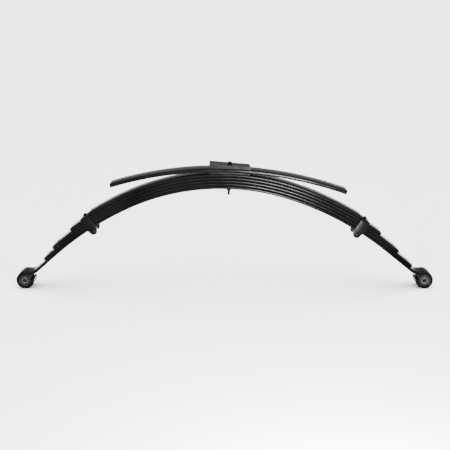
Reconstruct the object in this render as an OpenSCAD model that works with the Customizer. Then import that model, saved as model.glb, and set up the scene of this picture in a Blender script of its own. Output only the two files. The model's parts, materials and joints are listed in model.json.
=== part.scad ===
// Rear leaf spring pack: five nested leaves, a stiff overload leaf, clips, bushed eyes and an axle wedge.
// It stands on its two eyes with the arch upward. X runs along the spring, Y across it, Z up.

/* [Leaves] */
// Width of every leaf
leaf_w = 63.5; // [50:0.5:80]
// Thickness of each of the five nested leaves
leaf_t = 9.9; // [8:0.1:11]
// Free space between two nested leaves
leaf_gap = 0.15; // [0.1:0.05:0.3]
// Radius of the arch under the main leaf, around the seat
arch_r = 712; // [690:1:760]
// Radius of the flatter arch further out
outer_arch_r = 1000; // [900:1:1200]
// Angle that the seat arch covers toward the rear eye
rear_arch_angle = 27.2; // [25:0.1:30]
// Angle that the seat arch covers toward the front eye
front_arch_angle = 15.2; // [14:0.1:18]
// Angle that the flatter arch covers toward the rear eye
rear_outer_angle = 16.4; // [15:0.1:18]
// Angle that the flatter arch covers toward the front eye
front_outer_angle = 21.7; // [20:0.1:23]
// Straight end of the main leaf before the rear eye
rear_straight = 84; // [82:1:120]
// Straight end of the main leaf before the front eye
front_straight = 109; // [106:1:140]

/* [Leaf lengths, from the centre bolt along the underside of the main leaf] */
// Second leaf, rear and front
second_reach = [665, 667]; // [600:1:680]
// Third leaf, rear and front
third_reach = [617, 600]; // [560:1:650]
// Fourth leaf, rear and front
fourth_reach = [535, 516]; // [505:1:555]
// Fifth leaf, rear and front
fifth_reach = [456, 433]; // [420:1:465]

/* [Eyes and bushes] */
// Bore of each eye
eye_bore_d = 38; // [35:0.5:40]
// Height of the leaf's middle line over the middle of the eye
eye_lift = -1.5; // [-3:0.5:3]
// Radius of the reverse bend before the eye, at the middle of the leaf
eye_bend_r = 45; // [40:1:50]
// How far the eye wraps round
eye_wrap = 290; // [260:1:296]
// Wall of the bush's outer shell
shell_wall = 1.6; // [1:0.1:2.5]
// Outer diameter of the bush's inner sleeve
sleeve_d = 22; // [18:0.5:24]
// Bore of the inner sleeve
sleeve_bore_d = 14.3; // [12:0.1:16]
// Length of the inner sleeve
sleeve_l = 66.5; // [64:0.5:70]

/* [Overload leaf and seat] */
// Thickness of the overload leaf
overload_t = 13.2; // [9:0.1:15]
// Radius under the overload leaf, rear and front
overload_r = [1170, 1290]; // [1100:10:1500]
// Overload leaf from the centre bolt, rear and front
overload_reach = [390, 386]; // [350:1:410]
// Thickness of the spacer under the overload leaf
spacer_t = 3.6; // [3:0.1:11]
// Length of the spacer
spacer_l = 130; // [110:1:150]
// Width of the spacer
spacer_w = 60; // [50:0.5:63]
// Length of the axle wedge
wedge_l = 132; // [120:1:150]
// Height of the wedge at its rear end, at the leaf's surface
wedge_rear_h = 15.3; // [12:0.1:17]
// Height of the wedge at its front end
wedge_front_h = 8.7; // [6:0.1:10]

/* [Centre bolt] */
// Shank of the centre bolt
bolt_d = 9.5; // [8:0.1:10]
// Round head that locates the axle pad
bolt_head_d = 13; // [12.5:0.5:18]
// Height of the round head
bolt_head_h = 7.5; // [6:0.5:12]
// Shoulder under the head, which passes through the wedge and stands on the overload leaf
bolt_shoulder_d = 11; // [10.5:0.5:12]
// Bolt beyond the underside of the main leaf
bolt_tail = 24; // [20:0.5:30]
// Hex nut, across its flats
centre_nut_af = 14.3; // [13:0.1:17]
// Height of the hex nut
centre_nut_h = 8.2; // [6:0.1:10]

/* [Clips] */
// Width of the clip strap along the leaves
clip_w = 31; // [28:0.5:34]
// Thickness of the clip strap
clip_t = 5.5; // [4:0.1:6]
// Cross bolt below the main leaf, to its middle
clip_bolt_drop = 8.6; // [8.6:0.1:15]
// Radius of the strap's rounded ends
clip_lug_r = 12.5; // [11:0.5:14]
// Shank of the cross bolt
clip_bolt_d = 9.5; // [8:0.1:10]
// Outer diameter of the tube on the cross bolt
clip_tube_d = 15; // [12:0.5:15]
// Cross bolt's hex head and nut, across their flats
clip_hex_af = 14.3; // [13:0.1:16]
// How far the head, and the nut with the bolt's end, stand out
clip_hex_h = 6.3; // [5:0.1:8]
// Rivet head on the clip
rivet_head_d = 13; // [11:0.5:15]
// Height of the rivet head
rivet_head_h = 7; // [5:0.5:8]
// Shank of the rivet
rivet_d = 8; // [6:0.5:9]

/* [Tip pads] */
// Diameter of an anti-friction button
pad_d = 13; // [10:0.5:16]
// Button to the leaf's end
pad_inset = 25; // [20:1:35]
// How far the button stands out of the leaf
pad_proud = 0.8; // [0.4:0.1:1.5]

/* [Hidden] */
$fn = 96;
HEX = 6;
REAR = 0;
FRONT = 1;
// gap between parts that move against each other, and the looser one of a bolt in its hole
clear = 0.3;
hole_play = 0.5;
// radial clearance of a press-fitted shell and of the turning sleeve
fit = 0.03;
run_fit = 0.06;
// longest straight facet along a leaf, and the number of facets in a reverse bend and on a short crown
facet = 9;
bend_steps = 12;
crown_steps = 60;
// how far a cutting shape runs past the face it cuts
over = 1;
pitch = leaf_t + leaf_gap;
pack_h = 4 * pitch + leaf_t;
eye_mid_r = (eye_bore_d + leaf_t) / 2;
eye_outer_r = eye_bore_d / 2 + leaf_t;
eye_bend = acos((eye_bend_r + eye_lift) / (eye_bend_r + eye_mid_r));
seat_angle = [rear_arch_angle, front_arch_angle];
outer_angle = [rear_outer_angle, front_outer_angle];
straight = [rear_straight, front_straight];
// arc lengths under the main leaf where the arches end
seat_arc = [for (a = seat_angle) arch_r * a * PI / 180];
outer_arc = [for (i = [REAR, FRONT]) seat_arc[i] + outer_arch_r * outer_angle[i] * PI / 180];
overload_z = pack_h + leaf_gap + spacer_t + leaf_gap;
overload_top = overload_z + overload_t;
// the wedge sits on the overload leaf's curved top, which falls away by wedge_sag at the wedge's ends
wedge_under_r = [for (r = overload_r) r + overload_t + leaf_gap];
wedge_sag = [for (r = wedge_under_r) wedge_l * wedge_l / 8 / r];
wedge_rear_z = overload_top + wedge_rear_h - wedge_sag[REAR];
wedge_front_z = overload_top + wedge_front_h - wedge_sag[FRONT];
wedge_slope = atan((wedge_rear_z - wedge_front_z) / wedge_l);
// underside of the bolt's round head, just clear of the sloping wedge
head_z = (wedge_rear_z + wedge_front_z) / 2 + bolt_head_d / 2 * tan(wedge_slope) + leaf_gap;
clip_centre = [for (i = [REAR, FRONT]) fifth_reach[i] + clip_w / 2 + 1.5];
clip_y = leaf_w / 2 + clear;
clip_top = 4 * pitch - leaf_gap + clear;
rivet_sink = 3;
// height at which the strap starts to narrow toward its rounded ends
shoulder_z = 2;

// Point on the main leaf's underside, and its slope, at arc length s from the bolt on one side.
// It is measured in the seat's own frame: outward, upward and degrees downward.
function under(i, s) =
    s <= seat_arc[i] ? let (a = s / arch_r * 180 / PI)
        [arch_r * sin(a), arch_r * (cos(a) - 1), a]
    : s <= outer_arc[i] ? let (
            p = under(i, seat_arc[i]),
            a = p[2] + (s - seat_arc[i]) / outer_arch_r * 180 / PI)
        [p[0] + outer_arch_r * (sin(a) - sin(p[2])), p[1] + outer_arch_r * (cos(a) - cos(p[2])), a]
    : let (p = under(i, outer_arc[i]), d = s - outer_arc[i])
        [p[0] + d * cos(p[2]), p[1] - d * sin(p[2]), p[2]];

// Arc lengths where the reverse bends begin and end.
leaf_end = [for (i = [REAR, FRONT]) outer_arc[i] + straight[i]];
bend_l = eye_bend_r * eye_bend * PI / 180;

// The same place raised by h, square to the leaf, as a point of an outline. Rear points have a negative X.
// Past the leaf's end it follows the reverse bend, which turns upward about a point over the leaf.
function above(i, s, h) =
    let (
        p = under(i, min(s, leaf_end[i])),
        turn = max(0, s - leaf_end[i]) / eye_bend_r * 180 / PI,
        r = eye_bend_r + leaf_t / 2 - h,
        along = r * sin(turn),
        up = h + r - r * cos(turn),
        side = i == REAR ? -1 : 1)
    [side * (p[0] + along * cos(p[2]) + up * sin(p[2])), p[1] - along * sin(p[2]) + up * cos(p[2])];

// Arc lengths of an outline's points, out to the leaf's end, and on through the reverse bend.
function stations(reach) =
    let (n = ceil(reach / facet))
    [for (k = [0:n]) reach * k / n];
function eye_stations(i) =
    concat(stations(leaf_end[i]), [for (k = [1:bend_steps]) leaf_end[i] + bend_l * k / bend_steps]);

// Outline of a nested leaf between two heights, through the stations of its rear and front halves.
function outline(rear, front, low, high) =
    concat(
        [for (k = [len(rear) - 1:-1:1]) above(REAR, rear[k], low)],
        [for (s = front) above(FRONT, s, low)],
        [for (k = [len(front) - 1:-1:0]) above(FRONT, front[k], high)],
        [for (k = [1:len(rear) - 1]) above(REAR, rear[k], high)]);

// Crown whose highest point is at height top, from arc length s0 to s1. r is its radii, rear and front.
function crown(r, top, s0, s1) =
    [for (k = [0:crown_steps])
        let (
            s = s0 + (s1 - s0) * k / crown_steps,
            r_here = r[s < 0 ? REAR : FRONT],
            a = s / r_here * 180 / PI)
        [r_here * sin(a), top - r_here * (1 - cos(a))]];

// Middle of the eye in the seat's frame, as a distance outward and a height.
function eye(i) =
    let (
        p = under(i, outer_arc[i] + straight[i]),
        along = (eye_bend_r + eye_mid_r) * sin(eye_bend),
        down = eye_lift - leaf_t / 2)
    [p[0] + along * cos(p[2]) - down * sin(p[2]), p[1] - along * sin(p[2]) - down * cos(p[2])];

// The eyes stand level, so the seat tilts a little, because the two halves differ.
span_x = eye(REAR)[0] + eye(FRONT)[0];
span_z = eye(FRONT)[1] - eye(REAR)[1];
tilt = atan2(span_z, span_x);
eye_span = sqrt(span_x * span_x + span_z * span_z);
seat_x = eye_span / 2 - eye(FRONT)[0] * cos(tilt) - eye(FRONT)[1] * sin(tilt);
seat_z = eye_outer_r + eye(FRONT)[0] * sin(tilt) - eye(FRONT)[1] * cos(tilt);

// Everything at the seat is drawn about the centre bolt, then set at the seat's place and tilt.
module at_seat() {
    translate([seat_x, 0, seat_z])
        rotate([0, tilt, 0])
            children();
}

// One half of the spring: outward is +X for the front, and mirrored for the rear.
module half(i) {
    mirror([i == REAR ? 1 : 0, 0, 0])
        children();
}

// Places a child on the underside line at arc length s, with +X outward along the leaf.
module on_line(i, s) {
    p = under(i, s);
    half(i)
        translate([p[0], 0, p[1]])
            rotate([0, p[2], 0])
                children();
}

// A bar of width w with the given outline in the XZ plane.
module bar(points, w = leaf_w) {
    translate([0, w / 2, 0])
        rotate([90, 0, 0])
            linear_extrude(height = w)
                polygon(points);
}

// The hole for the centre bolt, through everything at the seat.
module bolt_hole(d = bolt_d + hole_play) {
    translate([0, 0, -pack_h])
        cylinder(h = 3 * pack_h, d = d);
}

// The rolled eye, and the metal that joins it to the end of the reverse bend.
module rolled_eye(i) {
    on_line(i, leaf_end[i])
        translate([(eye_bend_r + eye_mid_r) * sin(eye_bend), 0, leaf_t / 2 - eye_lift]) {
            rotate([90, 0, 0])
                rotate([0, 0, 90 + eye_bend - eye_wrap])
                    rotate_extrude(angle = eye_wrap)
                        translate([eye_bore_d / 2, -leaf_w / 2])
                            square([leaf_t, leaf_w]);
            rotate([0, -eye_bend, 0])
                translate([0, 0, eye_mid_r])
                    cube([2 * over, leaf_w - 2 * over, leaf_t - 2 * over], center = true);
        }
}

module main_leaf() {
    color([0.10, 0.10, 0.11])
        at_seat()
            difference() {
                union() {
                    bar(outline(eye_stations(REAR), eye_stations(FRONT), 0, leaf_t));
                    for (i = [REAR, FRONT])
                        rolled_eye(i);
                }
                bolt_hole();
            }
}

// A shorter leaf. Buttons and rivets pass through its holes, given as [arc length, diameter].
module short_leaf(reach, layer, holes = [[], []]) {
    low = layer * pitch;
    color([0.11, 0.11, 0.12])
        at_seat()
            difference() {
                bar(outline(stations(reach[REAR]), stations(reach[FRONT]), low, low + leaf_t));
                bolt_hole();
                for (i = [REAR, FRONT])
                    for (hole = [holes[i]])
                        if (len(hole) > 0)
                            on_line(i, hole[0])
                                translate([0, 0, low - over])
                                    cylinder(h = leaf_t + 2 * over, d = hole[1]);
            }
}

module second_leaf() {
    short_leaf(second_reach, 1, [for (s = second_reach) [s - pad_inset, pad_d + hole_play]]);
}

module third_leaf() {
    short_leaf(third_reach, 2, [for (s = third_reach) [s - pad_inset, pad_d + hole_play]]);
}

module fourth_leaf() {
    short_leaf(fourth_reach, 3, [for (s = clip_centre) [s, rivet_d + hole_play]]);
}

module fifth_leaf() {
    short_leaf(fifth_reach, 4);
}

module overload_leaf() {
    top_r = [for (r = overload_r) r + overload_t];
    outer = [for (i = [REAR, FRONT]) overload_reach[i] * top_r[i] / overload_r[i]];
    color([0.11, 0.11, 0.12])
        at_seat()
            difference() {
                bar(concat(
                    crown(overload_r, overload_z, -overload_reach[REAR], overload_reach[FRONT]),
                    crown(top_r, overload_top, outer[FRONT], -outer[REAR])));
                bolt_hole();
            }
}

// A plate that follows the fifth leaf below and the overload leaf above.
module overload_spacer() {
    end = spacer_l / 2;
    low_r = arch_r + pack_h + leaf_gap;
    color([0.08, 0.08, 0.09])
        at_seat()
            difference() {
                bar(concat(
                    crown([low_r, low_r], pack_h + leaf_gap, -end, end),
                    crown([for (r = overload_r) r - leaf_gap], overload_z - leaf_gap, end, -end)), spacer_w);
                bolt_hole();
            }
}

// The wedge that sets the axle's angle. Its top is flat and slopes toward the front.
module axle_wedge() {
    color([0.12, 0.12, 0.13])
        at_seat()
            difference() {
                bar(concat(
                    crown(wedge_under_r, overload_top + leaf_gap, -wedge_l / 2, wedge_l / 2),
                    [[wedge_l / 2, wedge_front_z], [-wedge_l / 2, wedge_rear_z]]));
                bolt_hole(bolt_head_d + 3 * hole_play);
            }
}

module centre_bolt() {
    color([0.13, 0.13, 0.14])
        at_seat() {
            translate([0, 0, head_z])
                cylinder(h = bolt_head_h, d = bolt_head_d);
            translate([0, 0, overload_top + leaf_gap])
                cylinder(h = head_z + over - overload_top - leaf_gap, d = bolt_shoulder_d);
            translate([0, 0, -bolt_tail])
                cylinder(h = bolt_tail + head_z + over, d = bolt_d);
        }
}

module centre_nut() {
    color([0.14, 0.14, 0.15])
        at_seat()
            translate([0, 0, -centre_nut_h - clear])
                difference() {
                    cylinder(h = centre_nut_h, d = centre_nut_af / cos(30), $fn = HEX);
                    translate([0, 0, -over])
                        cylinder(h = centre_nut_h + 2 * over, d = bolt_d + 2 * fit);
                }
}

// A clip piece stands on the underside line, square to the leaves, with Y across them.
module at_clip(i) {
    at_seat()
        on_line(i, clip_centre[i])
            children();
}

// Cylinder along Y, at the cross bolt's height, from y0 to y1.
module across(y0, y1, d, sides = 96) {
    translate([0, y0, -clip_bolt_drop])
        rotate([-90, 0, 0])
            cylinder(h = y1 - y0, d = d, $fn = sides);
}

module clip_strap(i) {
    top = clip_top + clip_t;
    cheek = [[-clip_lug_r, -clip_bolt_drop], [-clip_w / 2, shoulder_z], [-clip_w / 2, top],
        [clip_w / 2, top], [clip_w / 2, shoulder_z], [clip_lug_r, -clip_bolt_drop]];
    color([0.09, 0.09, 0.10])
        at_clip(i)
            difference() {
                union() {
                    translate([-clip_w / 2, -clip_y - clip_t, clip_top])
                        cube([clip_w, 2 * (clip_y + clip_t), clip_t]);
                    for (y = [-clip_y - clip_t, clip_y]) {
                        translate([0, y + clip_t / 2, 0])
                            bar(cheek, clip_t);
                        across(y, y + clip_t, 2 * clip_lug_r);
                    }
                }
                across(-leaf_w, leaf_w, clip_bolt_d + 2 * fit);
                translate([0, 0, clip_top - over])
                    cylinder(h = clip_t + 2 * over, d = rivet_d + 2 * fit);
            }
}

module clip_bolt(i) {
    outer = clip_y + clip_t;
    color([0.13, 0.13, 0.14])
        at_clip(i) {
            across(-outer - clip_hex_h, -outer, clip_hex_af / cos(30), HEX);
            across(-outer - over, outer + clip_hex_h, clip_bolt_d);
        }
}

module clip_nut(i) {
    outer = clip_y + clip_t;
    color([0.14, 0.14, 0.15])
        at_clip(i)
            difference() {
                across(outer, outer + clip_hex_h - over, clip_hex_af / cos(30), HEX);
                across(outer - over, outer + clip_hex_h + over, clip_bolt_d + 2 * fit);
            }
}

module clip_tube(i) {
    color([0.12, 0.12, 0.13])
        at_clip(i)
            difference() {
                across(-clip_y, clip_y, clip_tube_d);
                across(-leaf_w, leaf_w, clip_bolt_d + 2 * run_fit);
            }
}

// The round rivet head is a cap of a sphere over a short cylinder. The shank ends inside the leaf.
module clip_rivet(i) {
    rim = rivet_head_h / 3;
    cap = rivet_head_h - rim;
    ball = (rivet_head_d * rivet_head_d / 4 + cap * cap) / 2 / cap;
    color([0.10, 0.10, 0.11])
        at_clip(i) {
            translate([0, 0, clip_top + clip_t])
                cylinder(h = rim, d = rivet_head_d);
            translate([0, 0, clip_top + clip_t + rim])
                intersection() {
                    cylinder(h = rivet_head_h, d = rivet_head_d);
                    translate([0, 0, cap - ball])
                        sphere(r = ball);
                }
            translate([0, 0, 3 * pitch + rivet_sink])
                cylinder(h = clip_top + clip_t - 3 * pitch - rivet_sink + over, d = rivet_d);
        }
}

// A bush piece is drawn about the eye's own axis, which runs along Y.
module at_eye(i) {
    at_seat()
        half(i)
            translate([eye(i)[0], 0, eye(i)[1]])
                rotate([90, 0, 0])
                    children();
}

module ring(outer_d, inner_d, l) {
    difference() {
        cylinder(h = l, d = outer_d, center = true);
        cylinder(h = l + 2 * over, d = inner_d, center = true);
    }
}

module bush_shell(i) {
    color([0.10, 0.10, 0.10])
        at_eye(i)
            ring(eye_bore_d - 2 * fit, eye_bore_d - 2 * shell_wall, leaf_w);
}

module bush_rubber(i) {
    color([0.05, 0.05, 0.05])
        at_eye(i)
            ring(eye_bore_d - 2 * shell_wall - 2 * fit, sleeve_d + 2 * run_fit, leaf_w - 2 * over);
}

module bush_sleeve(i) {
    color([0.35, 0.35, 0.36])
        at_eye(i)
            ring(sleeve_d, sleeve_bore_d, sleeve_l);
}

// An anti-friction button set through the tip of a leaf.
module tip_pad(i, reach, layer) {
    color([0.05, 0.05, 0.06])
        at_seat()
            on_line(i, reach[i] - pad_inset)
                translate([0, 0, layer * pitch])
                    cylinder(h = leaf_t + pad_proud, d = pad_d);
}

main_leaf();
second_leaf();
third_leaf();
fourth_leaf();
fifth_leaf();
overload_leaf();
overload_spacer();
axle_wedge();
centre_bolt();
centre_nut();
clip_strap(REAR);  // rear_clip_strap
clip_bolt(REAR);  // rear_clip_bolt
clip_nut(REAR);  // rear_clip_nut
clip_tube(REAR);  // rear_clip_tube
clip_rivet(REAR);  // rear_clip_rivet
clip_strap(FRONT);  // front_clip_strap
clip_bolt(FRONT);  // front_clip_bolt
clip_nut(FRONT);  // front_clip_nut
clip_tube(FRONT);  // front_clip_tube
clip_rivet(FRONT);  // front_clip_rivet
bush_shell(REAR);  // rear_bush_shell
bush_rubber(REAR);  // rear_bush_rubber
bush_sleeve(REAR);  // rear_bush_sleeve
bush_shell(FRONT);  // front_bush_shell
bush_rubber(FRONT);  // front_bush_rubber
bush_sleeve(FRONT);  // front_bush_sleeve
tip_pad(REAR, second_reach, 1);  // rear_second_pad
tip_pad(REAR, third_reach, 2);  // rear_third_pad
tip_pad(FRONT, second_reach, 1);  // front_second_pad
tip_pad(FRONT, third_reach, 2);  // front_third_pad
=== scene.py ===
"""The looks of a bushed multi-leaf spring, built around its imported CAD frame. All sizes are in metres."""

import json
import math

import bmesh
import bpy
from mathutils import Matrix, Vector


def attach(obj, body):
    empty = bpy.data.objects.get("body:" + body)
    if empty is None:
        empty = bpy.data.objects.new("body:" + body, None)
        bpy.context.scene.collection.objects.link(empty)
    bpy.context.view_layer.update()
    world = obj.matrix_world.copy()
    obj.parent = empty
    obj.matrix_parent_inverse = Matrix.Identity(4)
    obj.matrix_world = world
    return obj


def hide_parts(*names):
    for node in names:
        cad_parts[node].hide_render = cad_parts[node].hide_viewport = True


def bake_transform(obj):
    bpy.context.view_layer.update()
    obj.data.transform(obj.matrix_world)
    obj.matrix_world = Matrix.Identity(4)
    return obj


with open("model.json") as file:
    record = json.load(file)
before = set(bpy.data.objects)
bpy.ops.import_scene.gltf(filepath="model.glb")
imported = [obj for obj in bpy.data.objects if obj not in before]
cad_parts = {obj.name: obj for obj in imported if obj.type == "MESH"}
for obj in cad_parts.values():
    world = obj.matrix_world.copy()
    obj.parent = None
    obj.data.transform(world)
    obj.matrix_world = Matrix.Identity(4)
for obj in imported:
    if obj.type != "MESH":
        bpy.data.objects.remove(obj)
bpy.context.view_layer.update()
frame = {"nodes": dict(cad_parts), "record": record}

# ---- driving sizes of the spring ------------------------------------------------------------
MM = 0.001
REAR, FRONT = "rear", "front"
SIDES = (REAR, FRONT)
OUT = {REAR: -1.0, FRONT: 1.0}

LEAF_W = 63.5 * MM
LEAF_T = 9.9 * MM
LEAF_GAP = 0.15 * MM
PITCH = LEAF_T + LEAF_GAP
EDGE_R = 3.2 * MM
ARCH_R = 712 * MM
OUTER_R = 1000 * MM
SEAT_ANGLE = {REAR: math.radians(27.2), FRONT: math.radians(15.2)}
OUTER_ANGLE = {REAR: math.radians(16.4), FRONT: math.radians(21.7)}
STRAIGHT = {REAR: 84 * MM, FRONT: 109 * MM}
SHORT_LEAVES = {
    "second_leaf": {REAR: 665 * MM, FRONT: 667 * MM},
    "third_leaf": {REAR: 617 * MM, FRONT: 600 * MM},
    "fourth_leaf": {REAR: 535 * MM, FRONT: 516 * MM},
    "fifth_leaf": {REAR: 456 * MM, FRONT: 433 * MM},
}
PACK_H = 4 * PITCH + LEAF_T

EYE_BORE_R = 19 * MM
EYE_LIFT = -1.5 * MM
EYE_BEND_R = 45 * MM
EYE_MID_R = EYE_BORE_R + LEAF_T / 2
EYE_WRAP = math.radians(290)
EYE_BEND = math.acos((EYE_BEND_R + EYE_LIFT) / (EYE_BEND_R + EYE_MID_R))
SHELL_WALL = 1.6 * MM
SLEEVE_R = 11 * MM
SLEEVE_BORE_R = 7.15 * MM
SLEEVE_L = 66.5 * MM

OVERLOAD_T = 13.2 * MM
OVERLOAD_R = {REAR: 1170 * MM, FRONT: 1290 * MM}
OVERLOAD_Z = PACK_H + 3.9 * MM
OVERLOAD_REACH = {REAR: 390 * MM, FRONT: 386 * MM}

BOLT_R = 4.75 * MM
BOLT_TAIL = 24 * MM
HEAD_R = 6.5 * MM
HEAD_H = 7.5 * MM
SHOULDER_R = 5.5 * MM
HEX_AF = 14.3 * MM
NUT_H = 8.2 * MM

CLIP_W = 31 * MM
CLIP_T = 5.5 * MM
CLIP_DROP = 8.6 * MM
LUG_R = 12.5 * MM
LUG_FROM = 2 * MM
CLIP_GAP = 0.3 * MM
CLIP_BEND_R = 2.5 * MM
CLIP_HEX_H = 6.3 * MM
TUBE_R = 7.5 * MM
RIVET_R = 6.5 * MM
RIVET_H = 7 * MM
PAD_R = 6.5 * MM
PAD_INSET = 25 * MM
PAD_PROUD = 0.8 * MM
THREAD_PITCH = 1.5 * MM
THREAD_DEPTH = 0.65 * MM


# ---- where things are, from the frame --------------------------------------------------------
mounts = {m["name"]: m for m in frame["record"]["mounts"]}
eye_at = {side: Vector(mounts[side + "_eye_bore"]["pos_m"]) for side in SIDES}
pin_axis = Vector(mounts["axle_pad_pin"]["axis"])
pin_at = Vector(mounts["axle_pad_pin"]["pos_m"])


def under(side, s):
    """Point under the main leaf at arc length s from the centre bolt: outward, upward, slope down."""
    seat_arc = ARCH_R * SEAT_ANGLE[side]
    a = min(s, seat_arc) / ARCH_R
    x = ARCH_R * math.sin(a)
    z = ARCH_R * (math.cos(a) - 1)
    outer_arc = OUTER_R * OUTER_ANGLE[side]
    b = a + min(max(s - seat_arc, 0), outer_arc) / OUTER_R
    x += OUTER_R * (math.sin(b) - math.sin(a))
    z += OUTER_R * (math.cos(b) - math.cos(a))
    d = max(s - seat_arc - outer_arc, 0)
    return x + d * math.cos(b), z - d * math.sin(b), b


def leaf_end(side):
    """Arc length where the main leaf's straight end stops and the reverse bend starts."""
    return ARCH_R * SEAT_ANGLE[side] + OUTER_R * OUTER_ANGLE[side] + STRAIGHT[side]


def eye_offset(side):
    """Middle of the eye in the seat's frame, outward and upward."""
    x, z, a = under(side, leaf_end(side))
    along = (EYE_BEND_R + EYE_MID_R) * math.sin(EYE_BEND)
    down = EYE_LIFT - LEAF_T / 2
    return x + along * math.cos(a) - down * math.sin(a), z - along * math.sin(a) - down * math.cos(a)


# The seat's upward direction is the centre bolt's, and its place follows from the front eye.
seat_up = Vector((pin_axis.x, 0, pin_axis.z)).normalized()
seat_x = Vector((seat_up.z, 0, -seat_up.x))
front_offset = eye_offset(FRONT)
seat_at = eye_at[FRONT] - seat_x * front_offset[0] - seat_up * front_offset[1]
ACROSS = Vector((0, 1, 0))


def in_row(side, x, z):
    """A place in the seat's frame, outward and upward, as a point of the row frame."""
    return seat_at + seat_x * (OUT[side] * x) + seat_up * z


def way(side, slope):
    """Directions along a leaf, outward, and square to it, upward, where it slopes down by slope."""
    along = seat_x * (OUT[side] * math.cos(slope)) - seat_up * math.sin(slope)
    up = seat_x * (OUT[side] * math.sin(slope)) + seat_up * math.cos(slope)
    return along, up


def spot(side, s, h):
    """Point, outward and upward directions at arc length s, at height h over the main underside."""
    x, z, a = under(side, s)
    along, up = way(side, a)
    return in_row(side, x, z) + up * h, along, up


def standing_at(point, up):
    """Matrix of a frame at point with Z along up and Y across the leaves."""
    x = ACROSS.cross(up)
    return Matrix.Translation(point) @ Matrix((x, ACROSS, up)).transposed().to_4x4()


# ---- mesh helpers ----------------------------------------------------------------------------
SMOOTH_ANGLE = math.radians(32)


def finish_mesh(name, bm, material):
    """Turns a bmesh into a smooth-shaded object with its own material."""
    bmesh.ops.recalc_face_normals(bm, faces=bm.faces)
    mesh = bpy.data.meshes.new(name)
    bm.to_mesh(mesh)
    bm.free()
    for polygon in mesh.polygons:
        polygon.use_smooth = True
    mesh.set_sharp_from_angle(angle=SMOOTH_ANGLE)
    mesh.materials.append(material)
    obj = bpy.data.objects.new(name, mesh)
    bpy.context.scene.collection.objects.link(obj)
    return obj


def place(obj, matrix, body, *nodes):
    """Puts a piece where it belongs, on its body, in place of its CAD nodes."""
    obj.data.transform(matrix)
    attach(obj, body)
    if nodes:
        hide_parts(*nodes)
    return obj


def bar_section(w, t, r, steps=4):
    """Outline of a bar's section as (across, up) pairs, with rounded corners."""
    points = []
    for quarter, (sx, sz) in enumerate(((1, 1), (-1, 1), (-1, -1), (1, -1))):
        for k in range(steps + 1):
            a = math.pi / 2 * (quarter + k / steps)
            points.append((sx * (w / 2 - r) + r * math.cos(a), sz * (t / 2 - r) + r * math.sin(a)))
    return points


def sweep(bm, stations, r, chamfer_first=True, chamfer_last=True):
    """A rounded bar through stations of (centre, along, up, width, thickness), closed at both ends."""
    rings = []
    for k, (centre, along, up, w, t) in enumerate(stations):
        first, last = k == 0, k == len(stations) - 1
        cuts = [(0.0, 0.0)]
        if first and chamfer_first:
            cuts = [(0.0, r * 0.8), (r * 0.25, r * 0.25), (r * 0.8, 0.0)]
        if last and chamfer_last:
            cuts = [(-r * 0.8, 0.0), (-r * 0.25, r * 0.25), (0.0, r * 0.8)]
        for shift, inset in cuts:
            section = bar_section(w - 2 * inset, t - 2 * inset, max(r - inset * 0.6, r * 0.3))
            rings.append([bm.verts.new(centre + along * shift + ACROSS * y + up * z) for y, z in section])
    for a, b in zip(rings, rings[1:]):
        n = len(a)
        for k in range(n):
            bm.faces.new((a[k], a[(k + 1) % n], b[(k + 1) % n], b[k]))
    bm.faces.new(rings[0])
    bm.faces.new(rings[-1])


def lathe(bm, profile, segments=72, matrix=Matrix.Identity(4)):
    """Turns (radius, height) pairs about Z. A zero radius is a pole; without one, the profile closes."""
    rings = []
    for r, z in profile:
        if r < 1e-7:
            rings.append([bm.verts.new(matrix @ Vector((0, 0, z)))])
            continue
        turns = [2 * math.pi * k / segments for k in range(segments)]
        rings.append([bm.verts.new(matrix @ Vector((r * math.cos(a), r * math.sin(a), z))) for a in turns])
    pairs = list(zip(rings, rings[1:]))
    if all(len(ring) > 1 for ring in rings):
        pairs.append((rings[-1], rings[0]))
    for a, b in pairs:
        for k in range(segments):
            n = (k + 1) % segments
            if len(a) == 1:
                bm.faces.new((a[0], b[k], b[n]))
            elif len(b) == 1:
                bm.faces.new((a[k], a[n], b[0]))
            else:
                bm.faces.new((a[k], a[n], b[n], b[k]))


def ring_profile(inner, outer, half_l, chamfer):
    """Closed profile of a tube with chamfered rims."""
    return [
        (inner, -half_l + chamfer),
        (inner + chamfer, -half_l),
        (outer - chamfer, -half_l),
        (outer, -half_l + chamfer),
        (outer, half_l - chamfer),
        (outer - chamfer, half_l),
        (inner + chamfer, half_l),
        (inner, half_l - chamfer),
    ]


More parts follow.
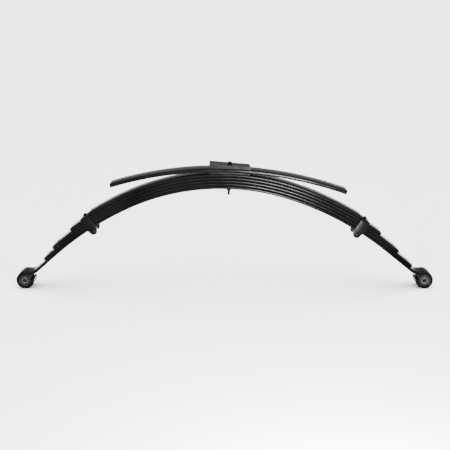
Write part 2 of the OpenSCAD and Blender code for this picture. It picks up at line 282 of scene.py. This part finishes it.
def hexagon(bm, across_flats, height, bore, matrix, both_ends=False, per_side=12):
    """A hex head or nut from Z = 0 up, its corners cut by a 30 degree cone. A bore of 0 makes it solid."""
    face_r = across_flats / 2 * 0.98
    n = 6 * per_side
    angles = [2 * math.pi * k / n for k in range(n)]
    radii = [across_flats / 2 / math.cos((a + math.pi / 6) % (math.pi / 3) - math.pi / 6) for a in angles]
    drops = [max(0.0, r - face_r) * math.tan(math.radians(30)) for r in radii]

    def ring(rs, zs):
        return [
            bm.verts.new(matrix @ Vector((r * math.cos(a), r * math.sin(a), z)))
            for r, a, z in zip(rs, angles, zs)
        ]

    low = [d if both_ends else 0.0 for d in drops]
    rings = [ring(radii, low), ring(radii, [height - d for d in drops]), ring([face_r] * n, [height] * n)]
    if both_ends:
        rings.insert(0, ring([face_r] * n, [0.0] * n))
    if bore:
        lip = bore * 1.08
        rings += [ring([lip] * n, [height] * n), ring([bore] * n, [height - (lip - bore)] * n)]
        rings += [ring([bore] * n, [lip - bore] * n), ring([lip] * n, [0.0] * n)]
    for a, b in zip(rings, rings[1:]):
        for k in range(n):
            m = (k + 1) % n
            bm.faces.new((a[k], a[m], b[m], b[k]))
    if bore:
        a, b = rings[-1], rings[0]
        for k in range(n):
            m = (k + 1) % n
            bm.faces.new((a[k], a[m], b[m], b[k]))
    else:
        bm.faces.new(rings[0])
        bm.faces.new(rings[-1])


def threaded_rod(bm, radius, z0, z1, matrix, segments=40, per_pitch=8):
    """A rod from z0 to z1 with a helical thread, run out to a chamfer at both ends."""
    rows = max(2, int((z1 - z0) / THREAD_PITCH * per_pitch))
    rings = []
    for row in range(rows + 1):
        z = z0 + (z1 - z0) * row / rows
        fade = min(1.0, (z - z0) / THREAD_PITCH, (z1 - z) / THREAD_PITCH)
        ring = []
        for k in range(segments):
            a = 2 * math.pi * k / segments
            phase = (z / THREAD_PITCH - k / segments) % 1.0
            groove = 1 - abs(2 * phase - 1)
            r = radius - THREAD_DEPTH * (1 - fade) - THREAD_DEPTH * fade * min(1.0, groove * 1.25)
            ring.append(bm.verts.new(matrix @ Vector((r * math.cos(a), r * math.sin(a), z))))
        rings.append(ring)
    for a, b in zip(rings, rings[1:]):
        for k in range(segments):
            n = (k + 1) % segments
            bm.faces.new((a[k], a[n], b[n], b[k]))
    bm.faces.new(rings[0])
    bm.faces.new(rings[-1])


# ---- materials -------------------------------------------------------------------------------
def node_of(tree, kind, **values):
    """A new node with its named inputs set."""
    made = tree.nodes.new(kind)
    for key, value in values.items():
        made.inputs[key.replace("_", " ")].default_value = value
    return made


def noise_of(tree, scale, detail, roughness=0.55):
    """Fractal noise in the row frame."""
    where = tree.nodes.new("ShaderNodeTexCoord")
    noise = node_of(tree, "ShaderNodeTexNoise", Scale=scale, Detail=detail, Roughness=roughness)
    tree.links.new(where.outputs["Object"], noise.inputs["Vector"])
    return noise.outputs["Fac"]


def remap(tree, value, low, high, out_low, out_high):
    """value from low to high, carried to out_low to out_high."""
    made = tree.nodes.new("ShaderNodeMapRange")
    for socket, number in zip(("From Min", "From Max", "To Min", "To Max"), (low, high, out_low, out_high)):
        made.inputs[socket].default_value = number
    tree.links.new(value, made.inputs["Value"])
    return made.outputs["Result"]


def maths(tree, operation, a, b):
    """One arithmetic step on two sockets or numbers."""
    made = tree.nodes.new("ShaderNodeMath")
    made.operation = operation
    for socket, value in zip(made.inputs, (a, b)):
        if isinstance(value, (int, float)):
            socket.default_value = value
        else:
            tree.links.new(value, socket)
    return made.outputs[0]


def mixed(tree, factor, a, b):
    """Colour a where factor is 0 and b where it is 1. Each may be a socket or an RGB triple."""
    made = tree.nodes.new("ShaderNodeMix")
    made.data_type = "RGBA"
    tree.links.new(factor, made.inputs["Factor"])
    for socket, value in zip((made.inputs[6], made.inputs[7]), (a, b)):
        if isinstance(value, tuple):
            socket.default_value = (*value, 1)
        else:
            tree.links.new(value, socket)
    return made.outputs[2]


def edge_mask(tree, radius):
    """Near 1 on worn outer edges, 0 on flat faces, found from how far a rounded normal leans."""
    bevel = node_of(tree, "ShaderNodeBevel", Radius=radius)
    bevel.samples = 4
    geometry = tree.nodes.new("ShaderNodeNewGeometry")
    dot = tree.nodes.new("ShaderNodeVectorMath")
    dot.operation = "DOT_PRODUCT"
    tree.links.new(bevel.outputs["Normal"], dot.inputs[0])
    tree.links.new(geometry.outputs["Normal"], dot.inputs[1])
    lean = remap(tree, dot.outputs["Value"], 1.0, 0.93, 0.0, 1.0)
    chips = remap(tree, noise_of(tree, 260, 5, 0.7), 0.52, 0.66, 0.0, 1.0)
    return maths(tree, "MULTIPLY", lean, chips)


def painted_steel(name, paint, rough, gloss=0.018, peel=0.06, scale_bump=0.1, wear=0.3, dust=0.04):
    """Black paint over steel: orange peel, mill scale under it, dust, and edges worn to dull metal."""
    material = bpy.data.materials.new(name)
    material.use_nodes = True
    tree = material.node_tree
    shader = tree.nodes["Principled BSDF"]
    shader.inputs["Specular IOR Level"].default_value = gloss
    cloud = noise_of(tree, 9, 6)
    speck = noise_of(tree, 420, 3, 0.8)
    tone = remap(tree, cloud, 0.35, 0.7, 0.0, 1.0)
    lighter = tuple(min(1.0, c * 1.7 + 0.001) for c in paint)
    base = mixed(tree, tone, paint, lighter)
    dusty = maths(tree, "MULTIPLY", remap(tree, speck, 0.6, 0.75, 0.0, 1.0), dust)
    base = mixed(tree, dusty, base, (0.07, 0.066, 0.06))
    worn = maths(tree, "MULTIPLY", edge_mask(tree, 1.6 * MM), wear)
    base = mixed(tree, worn, base, (0.11, 0.105, 0.10))
    tree.links.new(base, shader.inputs["Base Color"])
    tree.links.new(maths(tree, "MULTIPLY", worn, 0.75), shader.inputs["Metallic"])
    uneven = remap(tree, noise_of(tree, 34, 5, 0.6), 0.3, 0.7, rough - 0.07, rough + 0.10)
    duller = maths(tree, "MULTIPLY", dusty, 0.3)
    tree.links.new(maths(tree, "ADD", uneven, duller), shader.inputs["Roughness"])
    fine = node_of(tree, "ShaderNodeBump", Strength=peel, Distance=0.0003)
    tree.links.new(noise_of(tree, 750, 2), fine.inputs["Height"])
    coarse = node_of(tree, "ShaderNodeBump", Strength=scale_bump, Distance=0.0006)
    tree.links.new(noise_of(tree, 120, 6, 0.65), coarse.inputs["Height"])
    tree.links.new(fine.outputs["Normal"], coarse.inputs["Normal"])
    tree.links.new(coarse.outputs["Normal"], shader.inputs["Normal"])
    return material


def rubber_like(name, colour, rough, grain):
    """Matt rubber or hard plastic with a fine moulded grain and a little bloom."""
    material = bpy.data.materials.new(name)
    material.use_nodes = True
    tree = material.node_tree
    shader = tree.nodes["Principled BSDF"]
    shader.inputs["Specular IOR Level"].default_value = 0.12
    bloom = remap(tree, noise_of(tree, 90, 5, 0.65), 0.4, 0.75, 0.0, 0.7)
    pale = tuple(c * 2.2 + 0.002 for c in colour)
    tree.links.new(mixed(tree, bloom, colour, pale), shader.inputs["Base Color"])
    tree.links.new(remap(tree, bloom, 0.0, 0.7, rough, rough + 0.15), shader.inputs["Roughness"])
    bump = node_of(tree, "ShaderNodeBump", Strength=0.3, Distance=grain)
    tree.links.new(noise_of(tree, 900, 3), bump.inputs["Height"])
    tree.links.new(bump.outputs["Normal"], shader.inputs["Normal"])
    return material


def bare_steel(name, colour, rough):
    """Dark phosphated tube with turning marks round it and brighter rubbed rims."""
    material = bpy.data.materials.new(name)
    material.use_nodes = True
    tree = material.node_tree
    shader = tree.nodes["Principled BSDF"]
    shader.inputs["Metallic"].default_value = 1.0
    cloud = remap(tree, noise_of(tree, 60, 5), 0.35, 0.7, 0.0, 1.0)
    base = mixed(tree, cloud, colour, tuple(c * 1.7 for c in colour))
    worn = edge_mask(tree, 0.8 * MM)
    tree.links.new(mixed(tree, worn, base, (0.42, 0.41, 0.40)), shader.inputs["Base Color"])
    uneven = remap(tree, noise_of(tree, 200, 4), 0.3, 0.7, rough - 0.08, rough + 0.12)
    tree.links.new(uneven, shader.inputs["Roughness"])
    bump = node_of(tree, "ShaderNodeBump", Strength=0.25, Distance=0.0002)
    tree.links.new(noise_of(tree, 600, 4), bump.inputs["Height"])
    tree.links.new(bump.outputs["Normal"], shader.inputs["Normal"])
    return material


LEAF_PAINT = painted_steel("leaf_black_paint", (0.0008, 0.0008, 0.0009), 0.16)
PLATE_PAINT = painted_steel("plate_black_paint", (0.0008, 0.0008, 0.0009), 0.3)
CLIP_PAINT = painted_steel("clip_black_paint", (0.0008, 0.0008, 0.0009), 0.28, peel=0.08)
BOLT_PAINT = painted_steel("fastener_black_paint", (0.001, 0.001, 0.0012), 0.3, wear=0.5)
SHELL_PAINT = painted_steel("shell_dull_black", (0.003, 0.003, 0.003), 0.42, wear=0.6)
RUBBER = rubber_like("bush_rubber_black", (0.003, 0.003, 0.003), 0.6, 0.0003)
PAD_PLASTIC = rubber_like("pad_plastic_black", (0.0025, 0.0025, 0.0025), 0.5, 0.0002)
SLEEVE_STEEL = bare_steel("sleeve_dark_steel", (0.03, 0.03, 0.032), 0.36)


# ---- leaves ----------------------------------------------------------------------------------
STEP = 8 * MM
BLEND_FROM, BLEND_TO = 70 * MM, 400 * MM


def leaf_stations(side, reach, layer):
    """Stations of one half of a nested leaf, from the bolt to its tip."""
    n = math.ceil(reach / STEP)
    mid = layer * PITCH + LEAF_T / 2
    return [(*spot(side, reach * k / n, mid), LEAF_W, LEAF_T) for k in range(n + 1)]


def eye_stations(side):
    """Stations of the reverse bend and of the rolled eye, along the main leaf's middle line."""
    point, along, up = spot(side, leaf_end(side), LEAF_T / 2)
    centre = point + up * EYE_BEND_R
    made = []
    bend_steps, wrap_steps = 14, 72
    for k in range(1, bend_steps + 1):
        a = EYE_BEND * k / bend_steps
        heading = along * math.cos(a) + up * math.sin(a)
        lift = up * math.cos(a) - along * math.sin(a)
        made.append((centre - lift * EYE_BEND_R, heading, lift, LEAF_W, LEAF_T))
    for k in range(1, wrap_steps + 1):
        a = EYE_BEND - EYE_WRAP * k / wrap_steps
        heading = along * math.cos(a) + up * math.sin(a)
        lift = up * math.cos(a) - along * math.sin(a)
        made.append((eye_at[side] + lift * EYE_MID_R, heading, lift, LEAF_W, LEAF_T))
    return made


def bend_with_arm(obj, side, node):
    """Hides the leaf's CAD node and bakes the half's transform; start and end are worked out but not used.
    """
    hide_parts(node)
    start = spot(side, BLEND_FROM, PACK_H / 2)[0]
    end = spot(side, BLEND_TO, PACK_H / 2)[0]
    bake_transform(obj)


def make_leaves():
    """Each nested leaf is two halves that meet at the centre bolt."""
    for side in SIDES:
        bm = bmesh.new()
        stations = leaf_stations(side, leaf_end(side), 0) + eye_stations(side)
        sweep(bm, stations, EDGE_R, chamfer_first=False)
        bend_with_arm(finish_mesh("main_leaf_" + side, bm, LEAF_PAINT), side, "main_leaf")
        for layer, (node, reach) in enumerate(SHORT_LEAVES.items(), 1):
            bm = bmesh.new()
            sweep(bm, leaf_stations(side, reach[side], layer), EDGE_R, chamfer_first=False)
            bend_with_arm(finish_mesh(node + "_" + side, bm, LEAF_PAINT), side, node)


def make_overload():
    """The flatter leaf over the spacer, square cut at both ends."""
    length = OVERLOAD_REACH[REAR] + OVERLOAD_REACH[FRONT]
    n = math.ceil(length / STEP)
    stations = []
    for k in range(n + 1):
        s = length * k / n - OVERLOAD_REACH[REAR]
        low_r = OVERLOAD_R[REAR if s < 0 else FRONT]
        mid_r = low_r + OVERLOAD_T / 2
        a = s / low_r
        along, up = way(FRONT, a)
        centre = in_row(FRONT, mid_r * math.sin(a), OVERLOAD_Z - low_r + mid_r * math.cos(a))
        stations.append((centre, along, up, LEAF_W, OVERLOAD_T))
    bm = bmesh.new()
    sweep(bm, stations, EDGE_R)
    place(finish_mesh("overload_leaf_bar", bm, LEAF_PAINT), Matrix.Identity(4), "root", "overload_leaf")


def dress_plates():
    """The spacer and the wedge keep their CAD shape, with softened edges."""
    for node in ("overload_spacer", "axle_wedge"):
        obj = frame["nodes"][node]
        obj.data.materials.clear()
        obj.data.materials.append(PLATE_PAINT)
        soft = obj.modifiers.new("soft_edges", "BEVEL")
        soft.width = 0.8 * MM
        soft.segments = 3
        soft.limit_method = "ANGLE"
        soft.angle_limit = math.radians(35)


# ---- centre bolt -----------------------------------------------------------------------------
def make_centre_bolt():
    """Round-headed centre bolt through the seat, and its hex nut under the main leaf."""
    seat = standing_at(seat_at, seat_up)
    head_top = (pin_at - seat_at).dot(seat_up) + HEAD_H / 2
    head_low = head_top - HEAD_H
    rim = 1.2 * MM
    bm = bmesh.new()
    lathe(
        bm,
        [
            (0, head_low),
            (HEAD_R - 0.3 * MM, head_low),
            (HEAD_R, head_low + 0.3 * MM),
            (HEAD_R, head_top - rim),
            (HEAD_R - 0.35 * rim, head_top - 0.35 * rim),
            (HEAD_R - rim, head_top),
            (0, head_top),
        ],
    )
    lathe(bm, [(0, -NUT_H - 2 * MM), (BOLT_R, -NUT_H - 2 * MM), (BOLT_R, head_low), (0, head_low)], 40)
    shoulder_low = OVERLOAD_Z + OVERLOAD_T + LEAF_GAP
    lathe(bm, [(0, shoulder_low), (SHOULDER_R, shoulder_low), (SHOULDER_R, head_low), (0, head_low)], 48)
    threaded_rod(bm, BOLT_R, -BOLT_TAIL, -NUT_H - 1.5 * MM, Matrix.Identity(4))
    place(finish_mesh("centre_bolt_round_head", bm, BOLT_PAINT), seat, "root", "centre_bolt")
    bm = bmesh.new()
    nut = Matrix.Translation((0, 0, -NUT_H - 0.3 * MM))
    hexagon(bm, HEX_AF, NUT_H, BOLT_R + 0.05 * MM, nut, both_ends=True)
    place(finish_mesh("centre_nut_hex", bm, BOLT_PAINT), seat, "root", "centre_nut")


# ---- clips -----------------------------------------------------------------------------------
CLIP_Y = LEAF_W / 2 + CLIP_GAP
CLIP_TOP = 4 * PITCH - LEAF_GAP + CLIP_GAP


def strap_stations():
    """Stations of the bent strap, from one rounded lug over the leaves to the other, in the clip's frame."""
    y0 = CLIP_Y + CLIP_T / 2
    top = CLIP_TOP + CLIP_T / 2
    bend = CLIP_BEND_R + CLIP_T / 2
    path = []
    lug_steps, bend_steps = 10, 8
    for k in range(lug_steps + 1):
        a = math.radians(86) * (1 - k / lug_steps)
        path.append((-y0, -CLIP_DROP - LUG_R * math.sin(a), 0.0, 2 * LUG_R * math.cos(a)))
    path.append((-y0, LUG_FROM, 0.0, CLIP_W))
    for k in range(bend_steps + 1):
        a = math.pi / 2 * k / bend_steps
        path.append((-y0 + bend * (1 - math.cos(a)), top - bend + bend * math.sin(a), a, CLIP_W))
    mirrored = [(-y, z, math.pi - a, w) for y, z, a, w in reversed(path)]
    return path + mirrored


def make_strap(side, clip):
    """A U of flat strip round the leaves, with rounded lugs."""
    bm = bmesh.new()
    rings = []
    for y, z, a, w in strap_stations():
        inward = Vector((0, math.sin(math.pi / 2 - a), -math.cos(math.pi / 2 - a)))
        r = min(0.9 * MM, w / 3)
        section = bar_section(w, CLIP_T, r, 3)
        rings.append([bm.verts.new(Vector((x, y, z)) + inward * t) for x, t in section])
    for a, b in zip(rings, rings[1:]):
        n = len(a)
        for k in range(n):
            bm.faces.new((a[k], a[(k + 1) % n], b[(k + 1) % n], b[k]))
    bm.faces.new(rings[0])
    bm.faces.new(rings[-1])
    strap = finish_mesh(side + "_clip_strap_bent", bm, CLIP_PAINT)
    place(strap, clip, side + "_arm", side + "_clip_strap")


def make_clip(side):
    """The strap with its cross bolt, nut, tube and rivet."""
    s = SHORT_LEAVES["fifth_leaf"][side] + CLIP_W / 2 + 1.5 * MM
    point, _, up = spot(side, s, 0)
    clip = standing_at(point, up)
    make_strap(side, clip)
    body = side + "_arm"
    outer = CLIP_Y + CLIP_T
    # Z of this frame runs along the bolt, from its head to its nut
    bolt = clip @ Matrix.Translation((0, 0, -CLIP_DROP)) @ Matrix.Rotation(-math.pi / 2, 4, "X")
    head = Matrix.Translation((0, 0, -outer)) @ Matrix.Rotation(math.pi, 4, "X")
    bm = bmesh.new()
    hexagon(bm, HEX_AF, CLIP_HEX_H, 0, head)
    lathe(bm, [(0, -outer - 0.5 * MM), (BOLT_R, -outer - 0.5 * MM), (BOLT_R, outer), (0, outer)], 40)
    threaded_rod(bm, BOLT_R, outer - 2 * MM, outer + CLIP_HEX_H, Matrix.Identity(4))
    place(finish_mesh(side + "_clip_bolt_hex", bm, BOLT_PAINT), bolt, body, side + "_clip_bolt")
    bm = bmesh.new()
    nut = Matrix.Translation((0, 0, outer))
    hexagon(bm, HEX_AF, CLIP_HEX_H - 1 * MM, BOLT_R + 0.03 * MM, nut, both_ends=True)
    place(finish_mesh(side + "_clip_nut_hex", bm, BOLT_PAINT), bolt, body, side + "_clip_nut")
    bm = bmesh.new()
    lathe(bm, ring_profile(BOLT_R + 0.06 * MM, TUBE_R, CLIP_Y, 0.6 * MM))
    place(finish_mesh(side + "_clip_tube_spacer", bm, CLIP_PAINT), bolt, body, side + "_clip_tube")
    make_rivet(side, clip)


def make_rivet(side, clip):
    """Round rivet head on the strap, its shank sunk in the leaf."""
    base = CLIP_TOP + CLIP_T
    rim = RIVET_H / 3
    cap = RIVET_H - rim
    ball = (RIVET_R * RIVET_R + cap * cap) / 2 / cap
    dome = []
    dome_steps = 10
    widest = math.asin(min(1.0, RIVET_R / ball))
    for k in range(dome_steps + 1):
        a = widest * (1 - k / dome_steps)
        dome.append((ball * math.sin(a), base + RIVET_H - ball + ball * math.cos(a)))
    shank_r = 4 * MM
    low = 3 * PITCH + 3 * MM
    bm = bmesh.new()
    shank = [(0, low), (shank_r, low), (shank_r, base)]
    rim = [(RIVET_R - 0.4 * MM, base), (RIVET_R, base + 0.4 * MM)]
    lathe(bm, [*shank, *rim, *dome])
    place(finish_mesh(side + "_clip_rivet_round", bm, BOLT_PAINT), clip, side + "_arm", side + "_clip_rivet")


# ---- eyes ------------------------------------------------------------------------------------
def make_bush(side):
    """Pressed shell, moulded rubber with rolled lips, and the steel inner sleeve."""
    # Z of this frame runs across the leaves
    eye = Matrix.Translation(eye_at[side]) @ Matrix.Rotation(-math.pi / 2, 4, "X")
    half_w = LEAF_W / 2
    body = side + "_arm"
    bm = bmesh.new()
    lathe(bm, ring_profile(EYE_BORE_R - SHELL_WALL, EYE_BORE_R - 0.03 * MM, half_w, 0.5 * MM), 96)
    place(finish_mesh(side + "_bush_shell_pressed", bm, SHELL_PAINT), eye, body, side + "_bush_shell")
    inner, outer = SLEEVE_R + 0.06 * MM, EYE_BORE_R - SHELL_WALL - 0.03 * MM
    face = half_w - 1 * MM
    dish = 2.2 * MM
    steps = 10
    lip = []
    for k in range(steps + 1):
        u = k / steps
        lip.append((inner + (outer - inner) * u, face - dish * math.sin(math.pi * u) ** 0.8))
    profile = [(r, -z) for r, z in lip] + [(r, z) for r, z in reversed(lip)]
    bm = bmesh.new()
    lathe(bm, profile, 96)
    place(finish_mesh(side + "_bush_rubber_moulded", bm, RUBBER), eye, body, side + "_bush_rubber")
    bm = bmesh.new()
    lathe(bm, ring_profile(SLEEVE_BORE_R, SLEEVE_R, SLEEVE_L / 2, 0.7 * MM), 96)
    sleeve = finish_mesh(side + "_bush_sleeve_tube", bm, SLEEVE_STEEL)
    place(sleeve, eye, side + "_sleeve", side + "_bush_sleeve")


def make_pads(side):
    """Anti-friction buttons through the tips of the second and third leaves."""
    for layer, word in ((1, "second"), (2, "third")):
        point, _, up = spot(side, SHORT_LEAVES[word + "_leaf"][side] - PAD_INSET, layer * PITCH)
        top = LEAF_T + PAD_PROUD
        bm = bmesh.new()
        lathe(bm, [(0, 0), (PAD_R, 0), (PAD_R, top - 0.5 * MM), (PAD_R - 0.5 * MM, top), (0, top)], 48)
        pad = finish_mesh(f"{side}_{word}_pad_button", bm, PAD_PLASTIC)
        place(pad, standing_at(point, up), side + "_arm", f"{side}_{word}_pad")


make_leaves()
make_overload()
dress_plates()
make_centre_bolt()
for end in SIDES:
    make_clip(end)
    make_bush(end)
    make_pads(end)


# ---- stage -----------------------------------------------------------------------------------
def make_floor():
    """A wide plain pale floor."""
    material = bpy.data.materials.new("pale_floor")
    material.use_nodes = True
    shader = material.node_tree.nodes["Principled BSDF"]
    shader.inputs["Base Color"].default_value = (0.93, 0.93, 0.93, 1)
    shader.inputs["Roughness"].default_value = 0.9
    shader.inputs["Specular IOR Level"].default_value = 0.1
    mesh = bpy.data.meshes.new("floor")
    half = 300.0
    corners = [(-half, -half, 0), (half, -half, 0), (half, half, 0), (-half, half, 0)]
    mesh.from_pydata(corners, [], [(0, 1, 2, 3)])
    mesh.materials.append(material)
    floor = bpy.data.objects.new("floor", mesh)
    bpy.context.scene.collection.objects.link(floor)


def area_light(name, at, aim, size, power, size_y=None):
    """A soft rectangular light at a place, looking at aim."""
    data = bpy.data.lights.new(name, "AREA")
    data.shape = "RECTANGLE"
    data.size = size
    data.size_y = size_y or size
    data.energy = power
    light = bpy.data.objects.new(name, data)
    light.location = at
    light.visible_camera = False
    light.rotation_euler = (Vector(aim) - Vector(at)).to_track_quat("-Z", "Y").to_euler()
    bpy.context.scene.collection.objects.link(light)


def make_lights():
    """Dim white surroundings, a broad soft light from overhead, and a low panel in front."""
    world = bpy.data.worlds.new("studio")
    world.use_nodes = True
    world.node_tree.nodes["Background"].inputs["Color"].default_value = (1, 1, 1, 1)
    world.node_tree.nodes["Background"].inputs["Strength"].default_value = 0.8
    bpy.context.scene.world = world
    sky = bpy.data.lights.new("overhead", "SUN")
    sky.energy = 11
    sky.angle = math.radians(80)
    bpy.context.scene.collection.objects.link(bpy.data.objects.new("overhead", sky))
    area_light("front_strip", (0.29, -1.7, 0.1), (0.17, 0, 0.35), 0.3, 190, 0.24)


def make_camera():
    """A camera a little above the spring, looking slightly down along +Y."""
    pitch = math.radians(14.36)
    distance = 3.041
    target = Vector((0.001, 0, 0.2103))
    data = bpy.data.cameras.new("camera")
    data.sensor_width = 36
    data.lens = 73.9
    camera = bpy.data.objects.new("camera", data)
    camera.location = target + Vector((0, -math.cos(pitch), math.sin(pitch))) * distance
    camera.rotation_euler = (math.pi / 2 - pitch, 0, 0)
    bpy.context.scene.collection.objects.link(camera)
    bpy.context.scene.camera = camera


make_floor()
make_lights()
make_camera()
